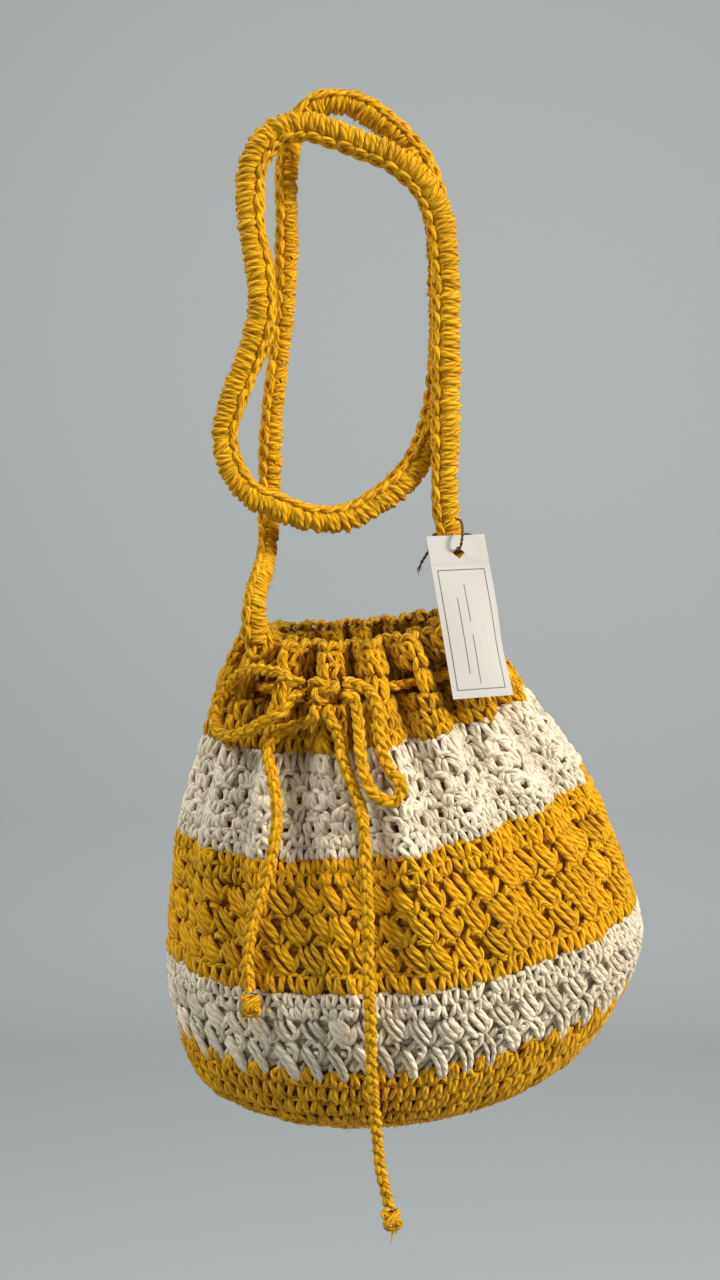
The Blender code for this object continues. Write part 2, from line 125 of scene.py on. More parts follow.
def bag_points(angle, rounds, folds=1.0):
    """Places on the middle of the wall, in millimetres."""
    cut = section_at(rounds)
    left, right, front, back, zl, zr, zf, zb, pleat, crease = cut[:, 1:].T
    wide, deep = (right - left) / 2, (back - front) / 2
    lean = (wide - deep) / (wide + deep)
    turn = angle + lean / 2 * np.sin(2 * angle)
    away = angle_gap(angle, CREASE_ANGLE)
    reach = pleat * folds * np.cos(PLEATS * (angle - PLEAT_ANGLE))
    reach = reach + crease * np.exp(-((away / CREASE_WIDTH) ** 2)) + hollow(angle, rounds)
    x = (right + left) / 2 + (wide + reach) * np.cos(turn)
    y = (back + front) / 2 + (deep + reach) * np.sin(turn)
    z = (zl + zr + zf + zb) / 4 + (zr - zl) / 2 * np.cos(turn) + (zb - zf) / 2 * np.sin(turn)
    z = z + (zl + zr - zf - zb) / 4 * np.cos(2 * turn)
    return np.stack([x, y, z], 1)


def outward(angle, rounds, folds=0.0, step=0.02):
    """Directions out of the wall."""
    rounds = np.clip(rounds, -0.2, 36.9)
    along = bag_points(angle + step, rounds, folds) - bag_points(angle - step, rounds, folds)
    down = bag_points(angle, rounds + 0.3, folds) - bag_points(angle, rounds - 0.3, folds)
    n = np.cross(down, along)
    return n / np.linalg.norm(n, axis=1)[:, None]


def angle_of(column, rounds):
    """Stitches spread evenly along the pleated wall, so they are wider where a pleat turns."""
    angle = PLEAT_ANGLE + column * math.tau / STITCHES
    crowd = 0.30 * np.clip(pleat_share(rounds), 0, 1) / (2 * PLEATS)
    return angle + crowd * np.sin(2 * PLEATS * (angle - PLEAT_ANGLE))


def on_wall(column, rounds, height, folds=0.35):
    """Places by stitch column, round and height off the wall's middle, in millimetres."""
    shape = np.shape(column)
    c, r, h = (np.ravel(np.broadcast_to(v, shape)).astype(float) for v in (column, rounds, height))
    angle = angle_of(c, r)
    lift = outward(angle, r, folds) * h[:, None]
    low = np.maximum(-r, 0.0)[:, None] * np.array([0.0, 0.0, ROUND_HEIGHT])
    return (bag_points(angle, r) + lift + low).reshape(*shape, 3)


# Yarn


def new_piece(name, data, material, body, place=None):
    """A mesh as a piece of the scene that rides a body."""
    piece = bpy.data.objects.new(name, data)
    bpy.context.scene.collection.objects.link(piece)
    data.materials.append(material)
    if place is not None:
        piece.matrix_world = place
    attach(piece, body)
    return piece


def smooth(points, steps):
    """A curve through the points with a few samples between each two."""
    p = np.asarray(points, float)
    ends = np.concatenate([[2 * p[0] - p[1]], p, [2 * p[-1] - p[-2]]])
    out = []
    for i in range(len(p) - 1):
        a, b, c, d = ends[i : i + 4]
        for k in range(steps):
            s = k / steps
            out.append(0.5 * (2 * b + (c - a) * s + (2 * a - 5 * b + 4 * c - d) * s * s
                              + (3 * b - a - 3 * c + d) * s**3))
    out.append(p[-1])
    return np.array(out)


class Yarn:
    """Collects tubes and makes one mesh of them."""

    def __init__(self, tone=0.5):
        self.points, self.normals, self.faces, self.maps, self.tones_and_shades = [], [], [], [], []
        self.count = 0
        self.tone = tone

    def tubes(self, paths, radius, sides=SIDES, tone=None):
        """paths has the shape (tubes, samples, 3) in millimetres; radius is one number or a profile."""
        paths = np.asarray(paths, float)
        many, samples = paths.shape[:2]
        radii = np.broadcast_to(radius, (many, samples))
        run = np.gradient(paths, axis=1)
        run /= np.maximum(np.linalg.norm(run, axis=2), 1e-9)[..., None]
        start = np.cross(run[:, 0], np.array([0.31, 0.52, 0.79]))
        start /= np.maximum(np.linalg.norm(start, axis=1), 1e-9)[:, None]
        normal = np.empty_like(paths)
        normal[:, 0] = start
        for k in range(1, samples):
            n = normal[:, k - 1]
            n = n - (n * run[:, k]).sum(1)[:, None] * run[:, k]
            normal[:, k] = n / np.maximum(np.linalg.norm(n, axis=1), 1e-9)[:, None]
        side = np.cross(run, normal)
        around = np.arange(sides) * math.tau / sides
        ring = normal[:, :, None] * np.cos(around)[:, None] + side[:, :, None] * np.sin(around)[:, None]
        points = paths[:, :, None] + ring * radii[:, :, None, None]
        length = np.concatenate([np.zeros((many, 1)),
                                 np.cumsum(np.linalg.norm(np.diff(paths, axis=1), axis=2), 1)], 1)
        number = self.count + np.arange(many * samples * sides).reshape(many, samples, sides)
        a, b = number[:, :-1], number[:, 1:]
        quads = np.stack([a, np.roll(a, -1, 2), np.roll(b, -1, 2), b], -1).reshape(-1, 4)
        u0 = np.broadcast_to((np.arange(sides) / sides), a.shape)
        u1 = u0 + 1.0 / sides
        v0 = np.broadcast_to(length[:, :-1, None], a.shape)
        v1 = np.broadcast_to(length[:, 1:, None], a.shape)
        shift = rng.random((many, 1, 1)) * 3.0
        corners = np.stack([np.stack([u0, v0 + shift], -1), np.stack([u1, v0 + shift], -1),
                            np.stack([u1, v1 + shift], -1), np.stack([u0, v1 + shift], -1)], 3)
        tones_and_shades = rng.normal(0.5, 0.16, many) if tone is None else np.asarray(tone, float)
        tones_and_shades = np.broadcast_to(tones_and_shades[:, None] if tones_and_shades.ndim == 1 else tones_and_shades, (many, samples))
        self.points.append(points.reshape(-1, 3))
        self.normals.append(ring.reshape(-1, 3))
        self.faces.append(quads)
        self.maps.append(corners.reshape(-1, 2))
        self.tones_and_shades.append(np.repeat(tones_and_shades.ravel(), sides))
        self.count += many * samples * sides

    def fuzz(self, many, reach=2.2):
        """Loose fibres that stand off the yarn in short curls."""
        points, normals = np.concatenate(self.points), np.concatenate(self.normals)
        pick = rng.integers(0, len(points), many)
        root, way = points[pick], normals[pick] + rng.normal(0, 0.75, (many, 3))
        way /= np.linalg.norm(way, axis=1)[:, None]
        curl = np.cross(way, rng.normal(0, 1, (many, 3)))
        size = reach * (0.35 + 0.65 * rng.random((many, 1)))
        hair = [root - 0.1 * way, root + way * size * 0.5 + curl * size * 0.12,
                root + way * size * 0.8 + curl * size * 0.45]
        self.tubes(np.stack(hair, 1), np.array([0.075, 0.06, 0.03])[None], sides=3,
                   tone=0.75 + 0.2 * rng.random(many))

    def stitches(self, strands, column, rounds, height, radius=YARN, jitter=1.2, warp=None, pitch=1.0,
                 face=1, lift=0.0):
        """Lays the strands of one stitch, given in stitch widths, shares of its height and millimetres
        out, at each column of a row; face -1 lays them inside the bag. Pleat valleys and deeper strands
        are painted darker and pleat ridges lighter: painted shade and light."""
        column = np.asarray(column, float)
        many = len(column)
        du, dv = rng.normal(0, 0.07 * jitter, many), rng.normal(0, 0.05 * jitter, many)
        tall = height * (1 + rng.normal(0, 0.05 * jitter, many))
        thick = 1 + rng.normal(0, 0.07 * jitter, many)
        out = rng.normal(0, 0.10 * jitter, many)
        lean = rng.normal(0.05, 0.10 * jitter, (many, 1))
        tone = rng.normal(self.tone, 0.13, many)
        for strand in strands:
            line = smooth(strand, 6)
            spots = np.linspace(0, len(line) - 1, round(1.35 * (len(strand) - 1)) + 2)
            line = np.stack([np.interp(spots, np.arange(len(line)), line[:, k]) for k in range(3)], 1)
            wobble = rng.normal(0, 0.05 * jitter, (many, 2, 1))
            c = column[:, None] + (du[:, None] + line[:, 0] + lean * line[:, 1] + wobble[:, 0]) * pitch
            r = rounds + (dv[:, None] + line[:, 1]) * tall[:, None] + wobble[:, 1]
            if warp is not None:
                r = warp(c, r)
            h = face * (line[:, 2] + out[:, None] + lift)
            profile = np.ones(len(line))
            profile[0], profile[-1] = 0.45, 0.45
            # Pleat ridges are painted lighter, pleat valleys and deeper strands darker: painted light and
            # shade
            pleat_light_and_shade = 0.34 * pleat_share(r.ravel()).reshape(r.shape) * np.cos(c * math.tau * PLEATS / STITCHES)
            shade = tone[:, None] + rng.normal(0, 0.07, (many, 1)) + 0.26 * (line[:, 2] - 0.9) + pleat_light_and_shade
            self.tubes(on_wall(c, r, np.broadcast_to(h, c.shape)), profile * radius * thick[:, None],
                       tone=np.clip(shade, 0.0, 1.0))

    def mesh(self, name, material, body, slot):
        verts = np.concatenate(self.points) * MM
        quads = np.concatenate(self.faces)
        data = bpy.data.meshes.new(name)
        data.vertices.add(len(verts))
        data.vertices.foreach_set("co", verts.astype(np.float32).ravel())
        data.loops.add(quads.size)
        data.loops.foreach_set("vertex_index", quads.astype(np.int32).ravel())
        data.polygons.add(len(quads))
        data.polygons.foreach_set("loop_start", np.arange(0, quads.size, 4, dtype=np.int32))
        data.update(calc_edges=True)
        data.polygons.foreach_set("use_smooth", np.ones(len(quads), bool))
        layer = data.uv_layers.new(name="yarn")
        layer.uv.foreach_set("vector", np.concatenate(self.maps).astype(np.float32).ravel())
        tones_and_shades = data.attributes.new("tone", "FLOAT", "POINT")
        tones_and_shades.data.foreach_set("value", np.concatenate(self.tones_and_shades).astype(np.float32))
        return new_piece(name, data, material, body)


# Stitches: each strand is (columns, share of the row's height, millimetres off the wall)
SINGLE = (
    ((0.10, -0.10, 0.1), (0.06, 0.12, 1.1), (0.12, 0.48, 1.5), (0.24, 0.82, 1.2), (0.34, 1.10, -0.2)),
    ((0.90, -0.08, 0.1), (0.80, 0.14, 1.0), (0.70, 0.46, 1.4), (0.62, 0.80, 1.1), (0.58, 1.08, -0.2)),
    ((0.16, 0.06, 0.1), (0.40, -0.04, 0.8), (0.64, -0.02, 0.7), (0.84, 0.12, 0.1)),
)
CROSS = (
    ((0.08, 0.20, -0.2), (0.40, 0.44, 0.9), (0.84, 0.72, 1.15), (1.18, 0.98, 0.9), (1.46, 1.04, 0.9),
     (1.48, 0.80, 1.25), (1.06, 0.46, 1.35), (0.64, 0.18, 1.1), (0.34, 0.00, 0.2)),
    ((1.16, 0.06, 0.2), (1.46, -0.08, 0.8), (1.80, 0.00, 1.0), (1.88, 0.24, 0.9), (1.56, 0.48, 0.2),
     (0.96, 0.74, -0.3), (0.54, 1.00, 0.2), (0.26, 1.06, 0.3), (0.10, 0.88, 0.2), (0.40, 0.66, -0.2)),
    ((1.22, 0.26, 0.4), (1.50, 0.20, 0.9), (1.56, 0.40, 0.4)),
)
LOBE = (
    ((0.12, 0.02, 0.3), (0.18, 0.28, 1.0), (0.46, 0.58, 1.3), (0.90, 0.86, 1.2), (1.28, 1.06, 0.4)),
    ((0.48, -0.04, 0.5), (0.58, 0.20, 1.3), (0.90, 0.46, 1.5), (1.28, 0.72, 1.3), (1.56, 0.96, 0.4)),
    ((0.92, -0.08, 0.4), (1.04, 0.12, 1.3), (1.32, 0.34, 1.4), (1.62, 0.58, 1.0), (1.74, 0.74, 0.2)),
    ((2.02, 0.34, 0.1), (1.90, 0.58, 0.9), (1.66, 0.80, 0.9), (1.36, 0.98, 0.1)),
    ((0.60, 0.74, 0.1), (0.34, 0.90, 0.8), (0.08, 1.02, 0.6), (-0.10, 1.10, 0.1)),
    ((1.40, -0.02, 0.4), (1.70, -0.12, 1.2), (2.00, -0.04, 0.9), (2.14, 0.14, 0.2)),
)
PAIR = (
    ((0.88, 0.12, 0.6), (0.70, 0.36, 1.1), (0.54, 0.70, 1.0), (0.42, 1.02, 0.3), (0.14, 0.94, 0.4),
     (0.12, 0.56, 1.1), (0.34, 0.20, 1.2), (0.64, -0.06, 0.8)),
    ((1.00, 0.18, 0.6), (1.18, 0.40, 1.1), (1.34, 0.70, 1.0), (1.46, 1.02, 0.3), (1.74, 0.92, 0.4),
     (1.76, 0.54, 1.1), (1.54, 0.20, 1.2), (1.24, -0.04, 0.8)),
    ((0.48, 0.08, 0.3), (0.80, -0.14, 1.2), (1.12, -0.14, 1.3), (1.44, 0.06, 0.5)),
)
EYE = (
    ((0.64, -0.04, 0.6), (0.54, 0.24, 1.25), (0.50, 0.56, 1.25), (0.74, 0.98, 0.4)),
    ((0.32, 0.00, 0.5), (0.20, 0.30, 1.1), (0.30, 0.70, 1.2), (0.54, 1.06, 0.4)),
    ((1.38, -0.04, 0.6), (1.48, 0.22, 1.25), (1.52, 0.52, 1.2), (1.28, 0.94, 0.4)),
    ((1.70, 0.00, 0.5), (1.82, 0.30, 1.1), (1.70, 0.68, 1.2), (1.46, 1.04, 0.4)),
    ((0.40, 0.06, 0.5), (0.72, -0.12, 1.2), (1.10, -0.16, 1.3), (1.46, -0.08, 1.1), (1.70, 0.08, 0.5)),
    ((0.60, 1.02, 0.3), (0.90, 0.90, 1.0), (1.20, 0.92, 1.0), (1.46, 1.04, 0.3)),
    ((1.90, 0.06, 0.5), (2.04, 0.40, 1.1), (1.96, 0.84, 0.6)),
)
POST = (
    ((-0.45, -0.02, 0.3), (-0.30, 0.25, 0.8), (-0.10, 0.60, 0.9), (-0.28, 1.04, 0.0)),
    ((0.10, -0.02, 0.3), (-0.12, 0.30, 0.9), (-0.36, 0.62, 0.8), (-0.05, 1.04, 0.0)),
    ((0.45, -0.02, 0.3), (0.36, 0.30, 0.9), (0.10, 0.62, 0.9), (0.30, 1.04, 0.0)),
)
RIM = (
    ((-0.05, 0.05, 0.7), (0.35, -0.40, 0.9), (0.75, -0.40, 0.5), (1.05, 0.10, 0.7)),
    ((-0.05, -0.2, -0.9), (0.40, -0.55, -0.2), (0.75, -0.5, -0.5), (1.05, -0.20, -0.9)),
)


def wall_sheet(name, material, body, slot, columns, rows, gap=None, warp=None, closed=False, shift=0.0,
               top=-0.25):
    """The fabric's body behind the yarn, with the openwork's gaps left out. top is the height of its
    outer skin off the wall's middle."""
    rounds = np.asarray(rows, float)
    pitch = STITCHES / columns
    c = (np.arange(columns) + shift) * pitch
    verts = []
    for height in (top, -1.5):
        for r in rounds:
            level = np.full(columns, r)
            if warp is not None:
                level = warp(c, level)
            verts.append(on_wall(c, level, np.full(columns, height)))
    verts = np.concatenate(verts) * MM
    many = len(rounds)
    faces, maps = [], []

    def corner(side, i, j):
        return (side * many + i) * columns + j % columns

    def add(corners, spots):
        faces.append(corners)
        maps.extend(spots)

    for i in range(many - 1):
        for j in range(columns):
            if gap and gap(c[j] + pitch / 2, (rounds[i] + rounds[i + 1]) / 2):
                continue
            spot = [(c[j], rounds[i]), (c[j] + pitch, rounds[i]), (c[j] + pitch, rounds[i + 1]),
                    (c[j], rounds[i + 1])]
            add([corner(0, i, j), corner(0, i, j + 1), corner(0, i + 1, j + 1), corner(0, i + 1, j)][::-1],
                spot[::-1])
            add([corner(1, i, j), corner(1, i, j + 1), corner(1, i + 1, j + 1), corner(1, i + 1, j)], spot)
    if closed:
        last = [corner(0, many - 1, j) for j in range(columns)]
        add(last[::-1], [(0.0, 0.0)] * columns)
        add([corner(1, many - 1, j) for j in range(columns)], [(0.0, 0.0)] * columns)
    edges = dict.fromkeys(edge for face in faces for edge in zip(face, face[1:] + face[:1]))
    half = many * columns
    for a, b in edges:
        if a < half and b < half and (b, a) not in edges:
            add([b, a, a + half, b + half], [(0.0, 0.0)] * 4)
    data = bpy.data.meshes.new(name)
    data.from_pydata([tuple(v) for v in verts], [], faces)
    data.update()
    data.polygons.foreach_set("use_smooth", np.ones(len(faces), bool))
    layer = data.uv_layers.new(name="cell")
    layer.uv.foreach_set("vector", np.array(maps, np.float32).ravel())
    return new_piece(name, data, material, body)


# Cords


def smooth_route(points, spacing):
    """Evenly spaced points on a smooth curve through the route's own points, with straight ends."""
    p = [np.asarray(q, float) for q in points]
    fine = []
    for a, b, c, d in zip(p, p[1:], p[2:], p[3:]):
        for k in range(24):
            s = k / 24
            fine.append(((2 * b) + (c - a) * s + (2 * a - 5 * b + 4 * c - d) * s**2
                         + (3 * b - a - 3 * c + d) * s**3) / 2)
    fine.append(p[-2])
    fine = np.array(fine)
    reach = np.concatenate([[0.0], np.cumsum(np.linalg.norm(np.diff(fine, axis=0), axis=1))])
    count = max(3, round(reach[-1] / spacing) + 1)
    goal = np.linspace(0.0, reach[-1], count)
    even = np.stack([np.interp(goal, reach, fine[:, k]) for k in range(3)], 1)
    return np.concatenate([[p[0]], even, [p[-1]]])


# Routes in millimetres, the same as in the part's source
STRAP_ROUTE = (
    (-30.2, 0, -163.0), (-29.3, 5, -143.0), (-28.2, 6, -111.6), (-23.6, 5, -73.6),
    (-22.0, 6, -43.4), (-22.3, 7, -24.5), (-20.3, 8, -5.7), (-12.7, 8, 5.5), (0.0, 8, 7.9),
    (15.2, 8, -0.2), (28.6, 8, -14.5), (35.2, 8, -35.5), (36.9, 8, -65.6), (35.9, 7, -103.8),
    (30.8, 3, -123.3), (19.1, -2, -138.7), (-2.0, -6, -150.2), (-20.9, -9, -147.2),
    (-37.9, -9, -138.9), (-45.8, -8, -121.9), (-42.6, -8, -105.2), (-32.5, -8, -79.2),
    (-31.8, -8, -60.9), (-35.4, -7, -38.8), (-34.5, -7, -19.0), (-27.0, -7, -8.2),
    (-12.9, -7, -4.5), (1.9, -7, -10.0), (18.6, -7, -16.4), (30.9, -7, -28.2),
    (37.4, -6, -48.9), (38.6, -6, -105.0), (39.0, -6, -148.0),
)
LOOP_LEFT_ROUTE = (
    (-20.0, -44.0, -205.3), (-27.5, -38.5, -204.2), (-34.5, -32.0, -204.6), (-41.5, -26.0, -209.0),
    (-46.5, -22.0, -216.5), (-49.0, -22.5, -224.5), (-45.5, -29.5, -229.0), (-37.0, -38.5, -227.0),
    (-29.5, -45.0, -222.0), (-21.5, -48.0, -217.0),
)
LOOP_RIGHT_ROUTE = (
    (8.0, -48.5, -209.0), (12.0, -51.5, -217.0), (12.5, -54.5, -227.0), (15.9, -57.5, -236.5),
    (20.3, -59.5, -242.0), (19.5, -60.5, -246.5), (13.0, -60.5, -247.0), (7.7, -58.0, -240.0),
    (5.9, -55.5, -231.0), (5.2, -51.5, -221.0),
)
TAIL_LEFT_ROUTE = (
    (-11.5, -44.5, -221.0), (-18.0, -43.0, -224.0), (-25.0, -41.8, -226.8), (-27.2, -43.5, -232.0),
    (-26.2, -46.8, -239.0), (-24.6, -49.3, -246.0), (-23.8, -52.0, -256.0), (-25.5, -53.5, -268.0),
    (-29.6, -53.5, -282.5), (-33.4, -52.5, -297.0), (-34.7, -51.7, -310.0), (-34.0, -51.6, -318.3),
)
TAIL_RIGHT_ROUTE = (
    (-2.6, -49.0, -223.0), (-0.9, -53.0, -232.0), (2.0, -55.6, -240.0), (5.2, -57.8, -248.0),
    (6.8, -60.0, -256.0), (7.2, -61.6, -265.0), (8.4, -63.4, -286.5), (8.4, -63.6, -305.0),
    (9.1, -63.0, -323.0), (9.6, -60.8, -340.0), (10.2, -58.0, -353.0), (11.5, -54.8, -368.0),
    (13.2, -52.5, -385.0), (16.2, -51.5, -399.5),
)
TAG_PIVOT = (42.0, -19.5, -161.2)
TWINE_ROUTE = (
    (28.5, -15.5, -166.5), (31.3, -15.8, -161.8), (33.5, -14.8, -158.0), (33.4, -11.5, -156.3),
    (33.9, -7.0, -155.8), (36.2, -2.3, -155.6), (40.8, -0.4, -155.5), (45.7, -2.2, -155.6),
    (48.1, -7.3, -156.0), (47.2, -12.2, -157.8), (44.5, -15.8, -161.2), (41.2, -16.6, -162.6),
    TAG_PIVOT, (42.8, -22.4, -159.9), (43.4, -22.5, -156.5), (43.7, -19.5, -152.8),
    (43.2, -16.2, -150.3), (41.5, -14.0, -149.5),
)


def one(angle, round_number, folds=1.0):
    """A single place on the middle of the wall."""
    return bag_points(np.array([angle]), np.array([float(round_number)]), folds)[0]


def outward_one(angle, round_number):
    return outward(np.array([angle]), np.array([float(round_number)]), 0.0, 0.05)[0]


def rim_seat(degrees):
    angle = math.radians(degrees)
    centre = one(angle, 0.0)
    edge = [angle + math.radians(d) for d in range(-12, 13, 2)]
    top = max((one(a, 0.0) + outward_one(a, 0.0) * (WALL / 2 + RIDGE))[2] for a in edge)
    return np.array([centre[0], centre[1], top + GAP])


KNOT_ANGLE = PLEAT_ANGLE - math.tau / PLEATS
INWARD = -outward_one(KNOT_ANGLE, STRING_ROUND)
ALONG = np.array([INWARD[1], -INWARD[0], 0.0]) / math.hypot(INWARD[0], INWARD[1])
KNOT_TURN = np.stack([ALONG, INWARD, np.cross(ALONG, INWARD)], 1)


def beside_knot(right, inward, up):
    lift = WALL / 2 + RIDGE + GAP + KNOT_SIZE[1] / 2
    return one(KNOT_ANGLE, STRING_ROUND) + KNOT_TURN @ np.array([right, inward - lift, up])


class Track:
    """A cord's centreline with a frame that doesn't twist, read at any distance along it."""

    def __init__(self, route, face=(0.0, -1.0, 0.0)):
        self.route = np.asarray(route, float)
        p = smooth(self.route, 8)
        step = np.linalg.norm(np.diff(p, axis=0), axis=1)
        p = p[np.concatenate([[True], step > 1e-6])]
        self.s = np.concatenate([[0.0], np.cumsum(np.linalg.norm(np.diff(p, axis=0), axis=1))])
        self.p, self.length = p, self.s[-1]
        run = np.gradient(p, axis=0)
        self.run = run / np.linalg.norm(run, axis=1)[:, None]
        n = np.asarray(face, float)
        normals = []
        for t in self.run:
            n = n - n.dot(t) * t
            n = n / np.linalg.norm(n)
            normals.append(n)
        self.n = np.array(normals)

    def at(self, s, right, front):
        """Places at distances s along, moved right and to the front of the line."""
        s = np.clip(s, 0, self.length)
        p, n, t = (np.stack([np.interp(s, self.s, v[:, k]) for k in range(3)], -1)
                   for v in (self.p, self.n, self.run))
        b = np.cross(t, n)
        return p + n * np.asarray(front)[..., None] + b * np.asarray(right)[..., None]


def strap_yarn(track, diameter):
    """Bars laid across a core, four to a loop of the chain that runs down one side."""
    yarn = Yarn()
    period = 6.5
    count = int(track.length / period)
    period = track.length / count

    def girth(s):
        """The width as a share of the full one: slim up from the left foot, full past the hand."""
        share = np.clip((s - 190.0) / 90.0, 0.0, 1.0)
        left = 0.76 + 0.24 * share * share * (3 - 2 * share) - 0.10 * np.exp(-(((s - 36.0) / 18.0) ** 2))
        left = left + 0.16 * np.exp(-((s / 7.0) ** 2))
        uneven = 1 + 0.03 * np.sin(s / 4.1) + 0.045 * np.sin(s / 11.7 + 1.0) + 0.03 * np.sin(s / 27.0)
        return left * uneven

    def chain_side(s):
        """The chain lies on the strap's left at its start and on the loop's inner side further on."""
        share = np.clip((s - 240.0) / 160.0, 0.0, 1.0)
        return math.radians(-62) + math.radians(128) * share * share * (3 - 2 * share)

    wide, deep = diameter / 2 - 0.95, diameter / 2 - 1.2

    def lay(s, turn, lift=1.0):
        r, a = girth(s) * lift, turn + chain_side(s)
        return track.at(s, wide * r * np.sin(a), deep * r * np.cos(a))

    # The core is painted darker than the bars: painted shade in the gaps between them
    core = np.linspace(0.4, track.length - 0.4, 260)
    yarn.tubes(track.at(core, core * 0, core * 0)[None], (diameter / 2 - 1.1) * girth(core), sides=12,
               tone=np.full(1, 0.2))
    starts = np.arange(count) * period + rng.normal(0, 0.35, count)
    lean = (0.8 * np.sin(starts / 31.0 + 0.6) + rng.normal(0, 0.45, count))[:, None]
    for offset, slant in ((0.4, 0.9), (2.1, 0.5), (3.8, 0.1), (5.35, -0.5)):
        last = offset > 5
        turn = np.radians(np.linspace(88 if last else 30, 322, 14))
        s = starts[:, None] + offset + (slant + lean) * np.cos(turn)[None] + rng.normal(0, 0.34, (count, 1))
        s = s + rng.normal(0, 0.38, (count, 1)) * np.sin(turn * 1.5)[None]
        dip = rng.normal(0.05, 0.05, (count, 1)) + (0.06 if last else 0.0)
        lift = np.interp(np.degrees(turn), (30, 52, 120, 290, 322), (0.80, 1.0, 1.0, 1.0, 0.80))
        yarn.tubes(lay(s, turn[None], lift[None] - dip), 1.08 + rng.normal(0, 0.10, (count, 1)),
                   sides=6)
    s = starts[:, None] + np.linspace(4.3, 7.0, 5)[None] + rng.normal(0, 0.25, (count, 1))
    turn = np.radians(np.linspace(100, 36, 5))[None] + rng.normal(0, 0.12, (count, 1))
    yarn.tubes(lay(s, turn, np.array([0.84, 0.92, 0.92, 0.86, 0.76])[None]), 0.95,
               tone=np.full(count, 0.35))
    for side in (-1, 1):
        share = np.linspace(0, 1, 9)
        s = starts[:, None] + (share * 1.42 - 0.2)[None] * period
        spread = (0.04 + 0.54 * np.sin(share * math.pi)) * side
        lift = 0.86 + 0.34 * np.sin(share * math.pi)
        yarn.tubes(lay(s, spread[None] + rng.normal(0, 0.06, (count, 1)), lift[None]),
                   1.14 + rng.normal(0, 0.08, (count, 1)), sides=6)
    yarn.fuzz(3200, 1.8)
    return yarn


def strap_foot(yarn, track, end, degrees):
    """Stitches that spread from an end of the strap onto the rim."""
    column = (math.radians(degrees) - PLEAT_ANGLE) * STITCHES / math.tau
    away = 1 if end == 0 else -1
    seat, low, high = (track.at(np.array([end + away * s]), np.zeros(1), np.zeros(1))[0]
                       for s in (0, 3.6, 8.5))
    for face in (1, -1):
        for spread in (-1.25, -0.75, -0.25, 0.25, 0.75, 1.25):
            spot = np.array([column + spread + rng.normal(0, 0.06)])
            tip, root = (on_wall(spot, np.array([r]), np.array([face * h]))[0]
                         for r, h in ((0.12, 1.5), (0.55, 0.8)))
            out = (tip - seat) * np.array([1.0, 1.0, 0.0])
            out *= min(1.0, 6.0 / max(np.linalg.norm(out), 1e-6))
            yarn.tubes(smooth([high + out * 0.42, low + out * 0.74, tip, root], 4)[None], 1.12,
                       tone=0.45 + 0.12 * rng.random(1))


def chain_yarn(track, diameter):
    """A crocheted chain, whose loops plait over each other."""
    yarn = Yarn()
    fat = diameter * 0.275
    across, deep = diameter / 2 + 0.1 - fat, diameter / 2 - fat - 0.2
    s = np.linspace(0.0, track.length, max(12, int(track.length / 0.85)))
    lap = 12.6
    for k in range(3):
        a = math.tau * (s / lap + k / 3)
        path = track.at(s, across * np.sin(a), deep * np.sin(2 * a))
        yarn.tubes(path[None], fat * (1 + 0.06 * np.sin(s / 3.1 + k)),
                   tone=np.array([0.5 + 0.12 * (k - 1)]))
    yarn.fuzz(int(track.length * 2.2), 1.5)
    return yarn


def knot_yarn(centre, turn, size, loops, tuft=None):
    """A tied knot: the cord laid over itself in a closed three-leaf path, with a tuft of short ends."""
    yarn = Yarn()
    a = np.linspace(0, math.tau, loops * 26 + 1)
    x = np.sin(a) + 2 * np.sin(2 * a)
    z = np.cos(a) - 2 * np.cos(2 * a)
    y = -np.sin(3 * a)
    path = np.stack([x / 3, y, z / 3], 1) * (np.array(size) / 2 - np.array([1.35, 1.6, 1.35]))
    run = np.gradient(path, axis=0)
    run /= np.linalg.norm(run, axis=1)[:, None]
    for k in range(3):
        twist = a * 5 + k * math.tau / 3
        up = np.cross(run, np.array([0.2, 1.0, 0.1]))
        up /= np.linalg.norm(up, axis=1)[:, None]
        side = np.cross(run, up)
        strand = path + 0.62 * (up * np.cos(twist)[:, None] + side * np.sin(twist)[:, None])
        yarn.tubes((strand @ turn.T + centre)[None], 0.80, tone=np.array([0.45 + 0.1 * k]))
    # A core painted dark fills the knot's middle: painted shade between its strands
    body = np.linspace(-1, 1, 7)
    middle = np.stack([body * 0, body * 0, body * size[2] * 0.30], 1) @ turn.T + centre
    yarn.tubes(middle[None], size[1] * 0.30 * np.sqrt(np.maximum(1 - body**2 * 0.85, 0.05)), sides=10,
               tone=np.full(1, 0.1))
    if tuft is not None:
        for k in range(tuft):
            way = np.array([rng.normal(0, 0.42), rng.normal(0, 0.42), -1.0])
            t = np.linspace(0, 1, 6)[:, None]
            bend = np.array([rng.normal(0, 1.0), rng.normal(0, 1.0), 0.0]) * t**2
            line = np.array([0, 0, -size[2] * 0.32]) + way * t * (2.6 + 1.2 * rng.random()) + bend
            yarn.tubes((line @ turn.T + centre)[None], 0.5 - 0.25 * t[:, 0], sides=5)
    return yarn


# Materials


